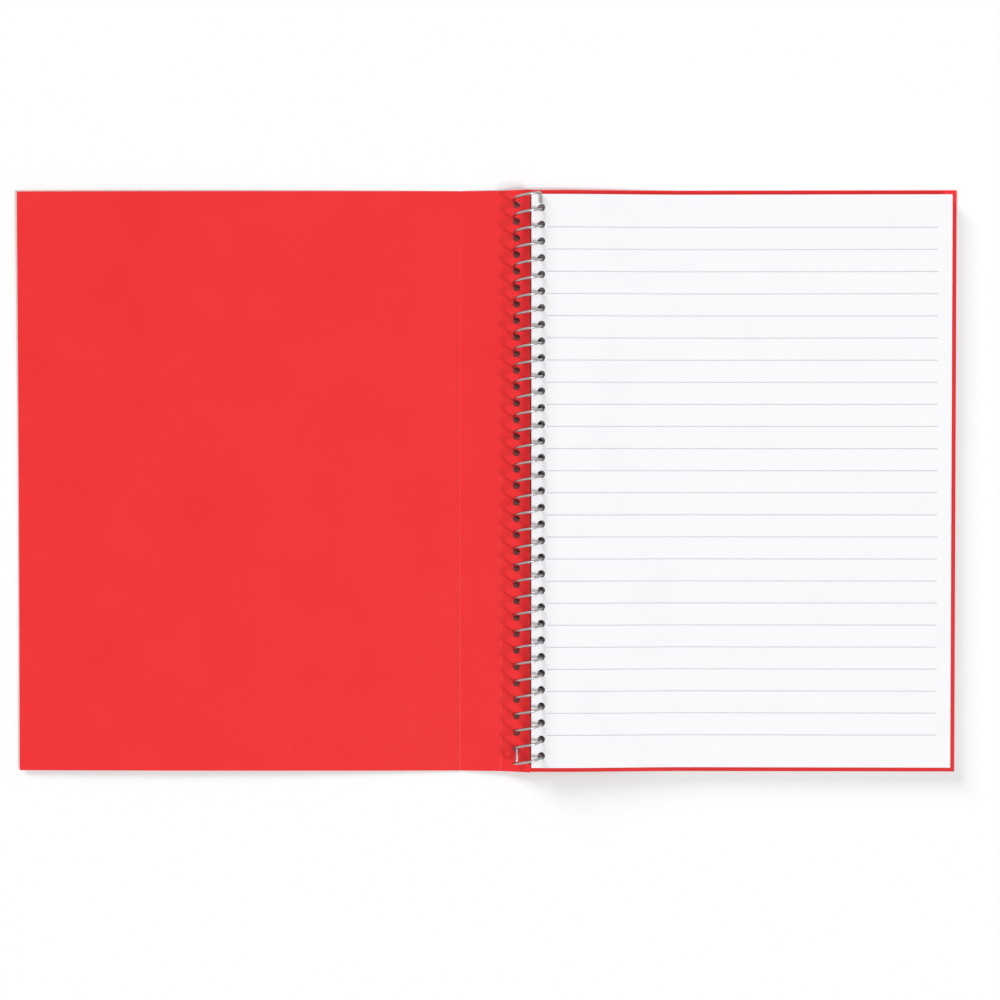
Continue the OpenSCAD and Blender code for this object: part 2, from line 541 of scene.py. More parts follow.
class Piece:
    """A mesh object of the notebook, made from arrays and placed in the row frame."""

    def __init__(self, name: str, place: CoilFrame) -> None:
        """Starts a piece.

        Args:
            name: Name of the piece.
            place: The coil's frame.
        """
        self.name = name
        self.place = place
        self.object: bpy.types.Object | None = None

    def fill(self, points: np.ndarray, faces: list, corner_uv: np.ndarray, finish_of_face: np.ndarray,
             finishes: list[Material]) -> bpy.types.Object:
        """Puts the arrays into a mesh, and the mesh into the scene.

        Args:
            points: Points in millimetres in the coil's frame.
            faces: Point numbers of each face.
            corner_uv: UV of every face corner, in order.
            finish_of_face: Number of each face's finish.
            finishes: The materials.

        Returns:
            The object.
        """
        mesh = bpy.data.meshes.new(self.name)
        mesh.from_pydata(self.place.to_row(points), [], faces)
        layer = mesh.uv_layers.new(name=UV_NAME)
        layer.uv.foreach_set("vector", corner_uv.astype(np.float32).ravel())
        for finish in finishes:
            mesh.materials.append(finish)
        mesh.polygons.foreach_set("material_index", finish_of_face.astype(np.int32))
        mesh.shade_smooth()
        mesh.set_sharp_from_angle(angle=SHARP_ANGLE)
        mesh.update()
        self.object = linked(self.name, mesh)
        return self.object

    def from_sheet(self, sheet: Sheet, surface: Surface, finishes: list[Material]) -> bpy.types.Object:
        """Builds a sheet and lays it on a surface. Its level attribute keeps the height through the sheet.

        Args:
            sheet: The sheet in its own coordinates.
            surface: Takes s, y and h to points in the coil's frame.
            finishes: Finish of the faces, then finish of the cut edges.

        Returns:
            The object.
        """
        parts = sheet.build()
        s, y, h = parts.points.T
        corner_uv = sheet_uv(s, y)[parts.quads].reshape(-1, 2)
        made = self.fill(surface(s, y, h), parts.quads.tolist(), corner_uv, parts.walls, finishes)
        level = made.data.attributes.new("level", "FLOAT", "POINT")
        level.data.foreach_set("value", h.astype(np.float32))
        return made

    def report(self) -> None:
        """Logs the piece's name and its count of faces."""
        LOG.info("%s: %d faces", self.name, len(self.object.data.polygons))


class Value:
    """A number that varies over a surface: a socket whose operators add Math nodes."""

    def __init__(self, nodes: "NodeBoard", socket: Socket) -> None:
        """Wraps a socket.

        Args:
            nodes: The board that the socket's node is on.
            socket: The socket.
        """
        self.nodes = nodes
        self.socket = socket

    def math(self, operation: str, first: "Operand", second: "Operand") -> "Value":
        """One Math node on two operands."""
        made = self.nodes.add("ShaderNodeMath", {"operation": operation}, {0: first, 1: second})
        return Value(self.nodes, made.outputs[0])

    def __add__(self, other: "Operand") -> "Value":
        """Sum."""
        return self.math("ADD", self, other)

    def __radd__(self, other: "Operand") -> "Value":
        """Sum with a number on the left."""
        return self.math("ADD", other, self)

    def __sub__(self, other: "Operand") -> "Value":
        """Difference."""
        return self.math("SUBTRACT", self, other)

    def __rsub__(self, other: "Operand") -> "Value":
        """Difference from a number on the left."""
        return self.math("SUBTRACT", other, self)

    def __mul__(self, other: "Operand") -> "Value":
        """Product."""
        return self.math("MULTIPLY", self, other)

    def __rmul__(self, other: "Operand") -> "Value":
        """Product with a number on the left."""
        return self.math("MULTIPLY", other, self)

    def __truediv__(self, other: "Operand") -> "Value":
        """Quotient."""
        return self.math("DIVIDE", self, other)

    def __rtruediv__(self, other: "Operand") -> "Value":
        """Quotient of a number on the left."""
        return self.math("DIVIDE", other, self)

    def __abs__(self) -> "Value":
        """Size without its sign."""
        return self.math("ABSOLUTE", self, 0.0)

    def larger(self, other: "Operand") -> "Value":
        """The larger of two values."""
        return self.math("MAXIMUM", self, other)

    def centred(self, width: float) -> "Value":
        """A noise of about 0.5, moved to about zero and scaled."""
        return (self - 0.5) * width

    def step(self, low: float, high: float) -> "Value":
        """Rises smoothly from 0 at low to 1 at high.

        Args:
            low: Value where the rise starts.
            high: Value where it ends.

        Returns:
            The eased share.
        """
        made = self.nodes.add("ShaderNodeMapRange", {"interpolation_type": "SMOOTHSTEP"}, {
            0: self, 1: low, 2: high, 3: 0.0, 4: 1.0})
        return Value(self.nodes, made.outputs[0])


Operand = Value | float


@dataclass(frozen=True)
class Grain:
    """A cloudy noise: its features to the millimetre, its octaves, and the strength of the finer ones."""

    per_mm: float
    octaves: float = 2.0
    fineness: float = 0.5


class NodeBoard:
    """The node tree of a material or of the world, with one method that adds any node."""

    def __init__(self, owner: Material | bpy.types.World) -> None:
        """Starts with an empty tree.

        Args:
            owner: The material or world that holds the tree.
        """
        owner.use_nodes = True
        self.owner = owner
        self.tree = owner.node_tree
        self.tree.nodes.clear()

    def add(self, kind: str, settings: dict | None = None, inputs: dict | None = None) -> bpy.types.Node:
        """Adds a node, sets it up, then fills or links its sockets.

        Args:
            kind: Type of the node.
            settings: Properties of the node, set first.
            inputs: Values, Value objects or sockets, by the name or number of the socket.

        Returns:
            The node.
        """
        node = self.tree.nodes.new(kind)
        for key, value in (settings or {}).items():
            setattr(node, key, value)
        for key, value in (inputs or {}).items():
            if isinstance(value, Value):
                value = value.socket
            if isinstance(value, bpy.types.NodeSocket):
                self.tree.links.new(value, node.inputs[key])
            else:
                node.inputs[key].default_value = value
        return node

    def uv(self) -> Socket:
        """The piece's UV map."""
        return self.add("ShaderNodeUVMap", {"uv_map": UV_NAME}).outputs[0]

    def stretched(self, vector: Socket, scale: Triple) -> Socket:
        """A vector multiplied by another, part by part."""
        return self.add("ShaderNodeVectorMath", {"operation": "MULTIPLY"}, {0: vector, 1: scale}).outputs[0]

    def sheet_mm(self) -> Socket:
        """Sheet coordinates in millimetres, from the piece's UV map."""
        return self.stretched(self.uv(), (UV_SPAN, UV_SPAN, UV_SPAN))

    def noise(self, vector: Socket, grain: Grain) -> Value:
        """Noise between 0 and 1, about 0.5 on average, at a place in millimetres."""
        made = self.add("ShaderNodeTexNoise", {}, {
            "Vector": vector, "Scale": grain.per_mm, "Detail": grain.octaves, "Roughness": grain.fineness})
        return Value(self, made.outputs[0])

    def parts(self, vector: Socket) -> tuple[Value, Value]:
        """The first two parts of a vector."""
        made = self.add("ShaderNodeSeparateXYZ", {}, {0: vector})
        return Value(self, made.outputs[0]), Value(self, made.outputs[1])

    def mix(self, share: Operand, first: Triple, second: Triple) -> Socket:
        """Colour that goes from the first to the second as share goes from 0 to 1."""
        made = self.add("ShaderNodeMix", {"data_type": "RGBA"}, {
            0: share, 6: (*first, 1.0), 7: (*second, 1.0)})
        return made.outputs[2]

    def seen(self) -> Value:
        """Tells rays that see a thing from rays that carry its light.

        Returns:
            One for a ray from the camera, a glossy or a transmitted ray, and zero for any other.
        """
        path = self.add("ShaderNodeLightPath")
        kinds = ("Is Camera Ray", "Is Glossy Ray", "Is Transmission Ray")
        camera, glossy, transmitted = (Value(self, path.outputs[kind]) for kind in kinds)
        return camera.larger(glossy).larger(transmitted)

    def bump(self, height: Value, depth: float) -> Socket:
        """Normal of a surface whose relief, from 0 to 1, is so many millimetres deep."""
        return self.add("ShaderNodeBump", {}, {
            "Height": height, "Strength": 1.0, "Distance": depth * MM}).outputs[0]


@dataclass(frozen=True, kw_only=True)
class Finish:
    """A material whose colour goes from a shade to a full colour as its tone crosses a range.

    In the finishes below, a value that ends in tone is a noise's share of the tone, one that ends in
    uneven is how far the noise moves the roughness, and relief is a depth in millimetres.
    """

    name: str
    colour: Triple
    shade: Triple
    tone_range: Range
    roughness: float

    def inputs(self, board: NodeBoard) -> dict:
        """Inputs of the finish's shader, by the names of its sockets."""
        raise NotImplementedError

    def tint(self, board: NodeBoard, tone: Value) -> Socket:
        """The colour for a tone."""
        return board.mix(tone.step(*self.tone_range), self.shade, self.colour)

    def make(self) -> Material:
        """Builds the material: one Principled shader with the finish's inputs.

        Returns:
            The material.
        """
        board = NodeBoard(bpy.data.materials.new(self.name))
        shader = board.add("ShaderNodeBsdfPrincipled", {}, self.inputs(board))
        board.add("ShaderNodeOutputMaterial", {}, {"Surface": shader.outputs[0]})
        return board.owner


@dataclass(frozen=True, kw_only=True)
class CardFinish(Finish):
    """Coated card, dyed through: satin, with a soft mottle and a fine fibre relief."""

    tone_range: Range = (0.3, 0.7)
    specular: float = 0.25
    cloud: Grain = Grain(0.035, 3.0)
    pressed: Grain = Grain(0.5)
    fibre: Grain = Grain(2.6, 4.0, 0.6)
    fibre_stretch: Triple = (1.0, 0.45, 1.0)
    cloud_tone: float = 0.55
    pressed_tone: float = 0.2
    fibre_tone: float = 0.25
    fibre_uneven: float = 0.14
    cloud_uneven: float = 0.1
    fibre_relief: float = 0.7
    pressed_relief: float = 0.3
    relief: float = 0.012

    def inputs(self, board: NodeBoard) -> dict:
        """Shader inputs of the card. Clouds, pressing and fibres share the tone, and the last two the relief.

        Args:
            board: The material's nodes.

        Returns:
            The inputs by name.
        """
        place = board.sheet_mm()
        cloud = board.noise(place, self.cloud)
        fibre = board.noise(board.stretched(place, self.fibre_stretch), self.fibre)
        pressed = board.noise(place, self.pressed)
        tone = cloud * self.cloud_tone + pressed * self.pressed_tone + fibre * self.fibre_tone
        return {
            "Base Color": self.tint(board, tone),
            "Roughness": self.roughness + fibre.centred(self.fibre_uneven) + cloud.centred(self.cloud_uneven),
            "Specular IOR Level": self.specular,
            "Normal": board.bump(fibre * self.fibre_relief + pressed * self.pressed_relief, self.relief),
        }


@dataclass(frozen=True, kw_only=True)
class PaperFinish(Finish):
    """Uncoated writing paper: matt, faintly cloudy when seen against the light, with fibre relief."""

    tone_range: Range = (0.32, 0.6)
    roughness: float = 0.82
    specular: float = 0.3
    cloud: Grain = Grain(0.05, 4.0, 0.55)
    fibre: Grain = Grain(3.2, 5.0, 0.65)
    cloud_tone: float = 0.6
    fibre_tone: float = 0.4
    uneven: float = 0.12
    relief: float = 0.01

    def inputs(self, board: NodeBoard) -> dict:
        """Shader inputs of the paper.

        Args:
            board: The material's nodes.

        Returns:
            The inputs by name.
        """
        place = board.sheet_mm()
        cloud = board.noise(place, self.cloud)
        fibre = board.noise(place, self.fibre)
        return {
            "Base Color": self.tint(board, cloud * self.cloud_tone + fibre * self.fibre_tone),
            "Roughness": self.roughness + fibre.centred(self.uneven),
            "Specular IOR Level": self.specular,
            "Normal": board.bump(fibre, self.relief),
        }


@dataclass(frozen=True, kw_only=True)
class LeafEdgeFinish(Finish):
    """Cut edges of many leaves, leaf_step apart, each a little lighter or darker than its neighbours."""

    leaf_step: float
    tone_range: Range = (0.3, 0.62)
    roughness: float = 0.85
    specular: float = 0.25
    leaf: Grain = Grain(1.0, 2.0, 0.6)
    stretch: float = 0.08
    uneven: float = 0.1

    def inputs(self, board: NodeBoard) -> dict:
        """Shader inputs of the edges. The tone follows the level attribute, one step of noise to a leaf.

        Args:
            board: The material's nodes.

        Returns:
            The inputs by name.
        """
        level = Value(board, board.add("ShaderNodeAttribute", {"attribute_name": "level"}).outputs["Fac"])
        across, along = board.parts(board.sheet_mm())
        place = board.add("ShaderNodeCombineXYZ", {}, {
            0: across * self.stretch, 1: along * self.stretch, 2: level / self.leaf_step}).outputs[0]
        leaf = board.noise(place, self.leaf)
        return {
            "Base Color": self.tint(board, leaf),
            "Roughness": self.roughness + leaf.centred(self.uneven),
            "Specular IOR Level": self.specular,
        }


@dataclass(frozen=True, kw_only=True)
class InkFinish(Finish):
    """Thin printed ink. Its shade is the full ink, and its colour is where the paper shows through."""

    tone_range: Range = (0.45, 0.75)
    roughness: float = 0.7
    specular: float = 0.3
    speck: Grain = Grain(2.4, 4.0, 0.7)

    def inputs(self, board: NodeBoard) -> dict:
        """Shader inputs of the ink.

        Args:
            board: The material's nodes.

        Returns:
            The inputs by name.
        """
        tone = board.noise(board.sheet_mm(), self.speck)
        return {
            "Base Color": self.tint(board, tone),
            "Roughness": self.roughness,
            "Specular IOR Level": self.specular,
        }


@dataclass(frozen=True, kw_only=True)
class WireFinish(Finish):
    """Bright drawn wire: metal with fine lines along its length."""

    girth: float
    length: float
    tone_range: Range = (0.35, 0.65)
    roughness: float = 0.24
    drawn: Grain = Grain(9.0, 3.0, 0.6)
    drawn_stretch: float = 0.05
    patch: Grain = Grain(0.3)
    drawn_tone: float = 0.5
    patch_tone: float = 0.5
    uneven: float = 0.16
    relief: float = 0.004

    def inputs(self, board: NodeBoard) -> dict:
        """Shader inputs of the wire. The lines run along V, and vary fast round the wire, along U.

        Args:
            board: The material's nodes.

        Returns:
            The inputs by name.
        """
        uv = board.uv()
        lines = board.stretched(uv, (self.girth, self.length * self.drawn_stretch, 1.0))
        drawn = board.noise(lines, self.drawn)
        patch = board.noise(board.stretched(uv, (self.girth, self.length, 1.0)), self.patch)
        return {
            "Base Color": self.tint(board, drawn * self.drawn_tone + patch * self.patch_tone),
            "Metallic": 1.0,
            "Roughness": self.roughness + drawn.centred(self.uneven),
            "Normal": board.bump(drawn, self.relief),
        }


@dataclass(frozen=True)
class FrontCoverSheet:
    """The front cover, one card: front panel, score, spine panel, score, and a punched flap.

    The coordinate s runs along the card from the front panel's outer edge to the flap's free edge. The
    flap rises at flap_tilt and meets the wire at flap_cross round the coil, with its holes moved up the
    page by hole_shift, to where the wire passes there.
    """

    binding: Binding
    place: CoilFrame
    front_w: float = 168.8
    spine_w: float = 15.5
    flap_w: float = 5.85
    flap_margin: float = 5.4
    flap_tilt: float = 14.0
    flap_cross: float = 217.0
    hole_d: float = 2.6
    hole_shift: float = 1.55
    score_w: float = 1.3
    score_depth: float = 0.22
    arch_h: float = 1.9
    droop: float = 0.65
    curl_h: float = 0.8
    flat_share: float = 0.35
    curl_low_y: float = -20.0
    bevel: float = 0.04
    hole_sides: int = 32
    score_reach: float = 0.75
    score_steps: int = 12
    line_step: float = 0.02
    spine_step: float = 1.6
    panel_step: float = 2.8
    panel_step_y: float = 3.4

    @property
    def score_2(self) -> float:
        """Place along the card of the score beside the front panel."""
        return self.front_w

    @property
    def score_1(self) -> float:
        """Place along the card of the score beside the flap."""
        return self.front_w + self.spine_w

    @property
    def hole_s(self) -> float:
        """Place along the card of the flap's holes."""
        return self.score_1 + self.flap_w

    @property
    def end_s(self) -> float:
        """Place along the card of the flap's free edge."""
        return self.hole_s + self.flap_margin

    def centre_line(self) -> tuple[np.ndarray, np.ndarray, np.ndarray, np.ndarray]:
        """Middle line of the card across the notebook, before the front panel's curl.

        The slope steps up at each score, eased over the score's width, and x and z are the running sums of
        its cosine and sine. The line is then moved so that the flap's holes lie on the coil.

        Returns:
            Fine samples of s, x, z and the slope.
        """
        middle = self.binding.card_t / 2
        tilt = math.radians(self.flap_tilt)
        cross = math.radians(self.flap_cross)
        hole_at = self.binding.coil_r * np.array([math.cos(cross), math.sin(cross)])
        hole_at += np.array([0.0, self.binding.coil_d / 2])
        drop = hole_at[1] - self.flap_w * math.sin(tilt) - middle
        spine_tilt = math.asin(drop / self.spine_w)
        s = spread(0.0, self.end_s, self.line_step)
        slope = spine_tilt * ease((s - self.score_2) / self.score_w + 0.5)
        slope += (tilt - spine_tilt) * ease((s - self.score_1) / self.score_w + 0.5)
        pace = s[1] - s[0]
        x = np.cumsum(np.cos(slope)) * pace
        z = np.cumsum(np.sin(slope)) * pace
        x = x + hole_at[0] - np.interp(self.hole_s, s, x)
        z = z + hole_at[1] - np.interp(self.hole_s, s, z)
        return s, x, z, slope

    def curl(self, s: np.ndarray, y: np.ndarray) -> np.ndarray:
        """How far the front panel stands up from the table.

        Its score springs back a little, so the panel climbs from the score and levels out, arch_h times one
        minus the square of the share of the width that is left, and then droops by its own weight, with
        the cube of the share it has come. Past the flat share the corners curl upwards as a square law
        both ways, by curl_h at the head's corner.

        Args:
            s: Places along the card.
            y: Places up the page.

        Returns:
            The heights.
        """
        out = np.clip(1.0 - s / self.front_w, 0.0, 1.0)
        away = np.clip(out - self.flat_share, 0.0, 1.0) / (1.0 - self.flat_share)
        reach = self.binding.cover_h / 2 - self.curl_low_y
        corner = ((y - self.curl_low_y) / reach) ** 2
        arch = self.arch_h * (1.0 - (1.0 - out) ** 2) * (1.0 - self.droop * out**3)
        return arch + self.curl_h * away**2 * corner

    def surface(self, s: np.ndarray, y: np.ndarray, h: np.ndarray) -> np.ndarray:
        """Lays the card's coordinates in the coil's frame.

        A point is the middle line's point, moved by h along its normal and raised by the curl. Near a
        score the inside face is pressed down by a cosine valley.

        Args:
            s: Places along the card.
            y: Places up the page.
            h: Heights from the card's middle.

        Returns:
            The points.
        """
        line_s, line_x, line_z, line_slope = self.centre_line()
        slope = np.interp(s, line_s, line_slope)
        upper = h / self.binding.card_t + 0.5
        scores = (self.score_1, self.score_2)
        off = [np.clip(np.abs(s - score) / (self.score_w / 2), 0.0, 1.0) for score in scores]
        valley = sum(0.5 + 0.5 * np.cos(math.pi * share) for share in off)
        lift = h - self.score_depth * valley * upper
        x = np.interp(s, line_s, line_x) - lift * np.sin(slope)
        z = np.interp(s, line_s, line_z) + lift * np.cos(slope) + self.curl(s, y)
        return np.stack([x, y, z], axis=-1)

    def score_lines(self, score: float) -> np.ndarray:
        """Grid lines across a score's valley."""
        return score + self.score_w * np.linspace(-self.score_reach, self.score_reach, self.score_steps + 1)

    def edge(self) -> Wall:
        """Cut edge of the card."""
        half = self.binding.card_t / 2
        return Wall.plain(-half, half, self.bevel)

    def build_flap(self, finishes: list[Material]) -> Piece:
        """The flap and half of the spine panel, which bend at the first score.

        Args:
            finishes: Card face and card edge.

        Returns:
            The piece.
        """
        row = self.binding.row(self.hole_s, self.hole_d, self.hole_shift, self.hole_sides)
        start = self.score_2 + self.spine_w / 2 - self.bevel
        s_lines = lines_through(
            spread(start, self.score_1 - self.score_w, self.spine_step),
            self.score_lines(self.score_1),
            row.across(),
            np.array([self.end_s]))
        sheet = Sheet(s_lines, row.along(self.binding.cover_h / 2), self.edge(), self.bevel, row)
        piece = Piece("front_cover_flap", self.place)
        made = piece.from_sheet(sheet, self.surface, finishes)
        self.fold(made, Body.BLOCK, Body.SPINE)
        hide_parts("cover_flap", "cover_spine")
        return piece

    def build_panel(self, finishes: list[Material]) -> Piece:
        """The front panel and the other half of the spine panel, which bend at the second score.

        Args:
            finishes: Card face and card edge.

        Returns:
            The piece.
        """
        half_h = self.binding.cover_h / 2
        end = self.score_2 + self.spine_w / 2 + self.bevel
        s_lines = lines_through(
            spread(0.0, self.score_2 - self.score_w, self.panel_step),
            self.score_lines(self.score_2),
            spread(self.score_2 + self.score_w, end, self.spine_step))
        sheet = Sheet(s_lines, spread(-half_h, half_h, self.panel_step_y), self.edge(), self.bevel)
        piece = Piece("front_cover_panel", self.place)
        made = piece.from_sheet(sheet, self.surface, finishes)
        self.fold(made, Body.SPINE, Body.FRONT)
        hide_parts("front_cover")
        return piece

    def fold(self, made: bpy.types.Object, first: Body, second: Body) -> None:
        """Looks up the joint between two bodies and bakes the piece's placement into its mesh; the piece is
        neither bent between them nor attached to either.

        Args:
            made: The piece's object.
            first: Body on the coil's side of the score.
            second: Body on the far side, which is towards lower X.
        """
        joint = next(j for j in frame["joints"] if (j["parent"], j["child"]) == (first.value, second.value))
        x, y, z = joint["pos_m"]
        reach = -self.score_w / 2 * MM
        x - reach
        x + reach
        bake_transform(made)


@dataclass(frozen=True)
class BackCoverSheet:
    """The back cover: one punched card that sags from the coil to the table."""

    binding: Binding
    place: CoilFrame
    width: float = 161.65
    bevel: float = 0.04
    hole_sides: int = 24
    near_step: float = 3.0
    far_step: float = 8.0

    def build(self, finishes: list[Material]) -> Piece:
        """The back cover.

        Args:
            finishes: Card face and card edge.

        Returns:
            The piece.
        """
        binding = self.binding
        row = binding.row(binding.hole_s, binding.hole_d, 0.0, self.hole_sides)
        s_lines = binding.across(row, 0.0, self.width, self.near_step, self.far_step)
        edge = Wall.plain(0.0, binding.card_t, self.bevel)
        sheet = Sheet(s_lines, row.along(binding.cover_h / 2), edge, self.bevel, row)
        piece = Piece("back_cover_card", self.place)
        made = piece.from_sheet(sheet, binding.lay, finishes)
        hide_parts("back_cover")
        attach(made, Body.BACK.value)
        return piece


@dataclass(frozen=True)
class PageStack:
    """The pages: a block whose cut edges show every leaf, a loose top leaf, and its ruled lines.

    A leaf's cut edge stands proud of the grooves by groove, from leaf_top to leaf_foot in shares of its
    thickness, and the groove under it reaches to groove_foot. The drift values set how the leaves wander
    slowly through the block, and the wave values how the top leaf undulates, with wave_s and wave_y the
    lengths in which its sines turn by a radian.
    """

    binding: Binding
    place: CoilFrame
    width: float = 158.75
    punched_cut: float = 0.7
    hole_d: float = 2.8
    hole_drop: float = 0.25
    leaf_count: int = 40
    leaf_t: float = 0.1
    leaf_gap: float = 0.03
    leaf_bevel: float = 0.02
    groove: float = 0.06
    leaf_top: float = 0.12
    leaf_foot: float = 0.84
    groove_foot: float = 0.98
    stray: float = 0.05
    drift_s: float = 0.06
    drift_s_turn: float = 5.1
    drift_s_start: float = 0.7
    drift_y: float = 0.05
    drift_y_leaves: float = 9.0
    seed: int = 34
    rule_count: int = 24
    rule_margin_end: float = 12.3
    rule_start: float = 6.4
    rule_end_margin: float = 5.2
    rule_w: float = 0.34
    rule_t: float = 0.02
    rule_step: float = 2.5
    wave: float = 0.1
    wave_rise: float = 1.25
    wave_start: float = 0.15
    wave_s: float = 31.0
    wave_s_start: float = 0.6
    wave_y: float = 47.0
    wave_y_start: float = 1.9
    block_hole_sides: int = 16
    leaf_hole_sides: int = 32
    near_step: float = 4.0
    block_far_step: float = 9.0
    leaf_far_step: float = 6.0

    def top_surface(self, s: np.ndarray, y: np.ndarray, h: np.ndarray) -> np.ndarray:
        """Lays the top leaf, with a slow wave that grows from nothing at the coil to its outer edge.

        Args:
            s: Places from the punched edge.
            y: Places up the page.
            h: Heights above the sag line.

        Returns:
            The points. The wave is the product of two slow sines, one across and one up the page.
        """
        points = self.binding.lay(s, y, h)
        free = ease(s / self.width * self.wave_rise - self.wave_start)
        across = np.sin(s / self.wave_s + self.wave_s_start)
        slow = 0.5 + 0.5 * across * np.sin(y / self.wave_y + self.wave_y_start)
        points[:, 2] += self.wave * free * slow
        return points

    def row(self, sides: int) -> HoleRow:
        """The pages' row of holes."""
        return self.binding.row(self.binding.hole_s, self.hole_d, -self.hole_drop, sides)

    def s_lines(self, row: HoleRow, far_step: float) -> np.ndarray:
        """Grid lines across the pages."""
        return self.binding.across(row, self.punched_cut, self.width, self.near_step, far_step)

    def leaf_wall(self, low: float, high: float) -> Wall:
        """Cut edge of the block: three rows to a leaf, with a groove between each leaf and the next.

        Every leaf is shifted a little along s and y, by a slow drift through the block and a small
        random share, and the first and last rows keep the faces' own place.

        Args:
            low: Height of the block's bottom.
            high: Height of its top.

        Returns:
            The wall.
        """
        rng = np.random.default_rng(self.seed)
        count = self.leaf_count
        number = np.arange(count)
        leaf = (high - low) / count
        tops = high - leaf * number
        drift = np.sin(number / count * self.drift_s_turn + self.drift_s_start)
        shift_s = self.drift_s * drift + rng.normal(0.0, self.stray, count)
        shift_y = self.drift_y * np.cos(number / self.drift_y_leaves) + rng.normal(0.0, self.stray, count)
        profile = ((self.leaf_top, self.groove), (self.leaf_foot, self.groove), (self.groove_foot, 0.0))
        rows = np.stack([
            np.stack([tops - share * leaf, np.full(count, stand), shift_s, shift_y], axis=-1)
            for share, stand in profile
        ], axis=1).reshape(-1, 4)
        return Wall(np.concatenate([[[high, 0.0, 0.0, 0.0]], rows[:-1], [[low, 0.0, 0.0, 0.0]]]))

    def build_block(self, finishes: list[Material]) -> Piece:
        """All leaves but the top one.

        Args:
            finishes: Paper and leaf edges.

        Returns:
            The piece.
        """
        row = self.row(self.block_hole_sides)
        low = self.binding.card_t + self.leaf_gap / 2
        high = self.binding.stack_t - self.leaf_t - self.leaf_gap
        sheet = Sheet(
            self.s_lines(row, self.block_far_step), row.along(self.binding.page_h / 2),
            self.leaf_wall(low, high), self.groove, row, Wall.plain(low, high, self.groove))
        piece = Piece("page_leaves", self.place)
        made = piece.from_sheet(sheet, self.binding.lay, finishes)
        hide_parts("page_block")
        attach(made, Body.BLOCK.value)
        return piece

    def build_top_leaf(self, finishes: list[Material]) -> Piece:
        """The leaf that lies open on top, a little loose on the block.

        Args:
            finishes: Paper and leaf edge.

        Returns:
            The piece.
        """
        row = self.row(self.leaf_hole_sides)
        top = self.binding.stack_t
        sheet = Sheet(
            self.s_lines(row, self.leaf_far_step), row.along(self.binding.page_h / 2),
            Wall.plain(top - self.leaf_t, top, self.leaf_bevel), self.leaf_bevel, row)
        piece = Piece("top_leaf", self.place)
        made = piece.from_sheet(sheet, self.top_surface, finishes)
        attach(made, Body.BLOCK.value)
        return piece

    def build_rules(self, finish: Material) -> Piece:
        """The ruled lines, thin strips of ink that follow the top leaf.

        Each line is a closed strip: a loop of four corners in (y, h), carried along s.

        Args:
            finish: The ink.

        Returns:
            The piece.
        """
        half_h = self.binding.page_h / 2
        places = np.linspace(half_h - self.rule_margin_end, self.rule_margin_end - half_h, self.rule_count)
        stops = spread(self.rule_start, self.width - self.rule_end_margin, self.rule_step)
        half_w = self.rule_w / 2
        loop_y = np.array([half_w, -half_w, -half_w, half_w])
        loop_h = np.array([0.0, 0.0, 1.0, 1.0]) * self.rule_t + self.binding.stack_t - self.rule_t / 2
        shape = (len(places), len(stops), len(loop_y))
        s = np.broadcast_to(stops[None, :, None], shape).ravel()
        y = np.broadcast_to(places[:, None, None] + loop_y[None, None, :], shape).ravel()
        h = np.broadcast_to(loop_h[None, None, :], shape).ravel()
        index = np.arange(s.size).reshape(shape)
        quads = np.concatenate([tube_quads(*shape), index[:, 0, :], index[:, -1, ::-1]])
        piece = Piece("ruled_lines", self.place)
        made = piece.fill(
            self.top_surface(s, y, h), quads.tolist(), sheet_uv(s, y)[quads].reshape(-1, 2),
            np.zeros(len(quads)), [finish])
        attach(made, Body.BLOCK.value)
        return piece


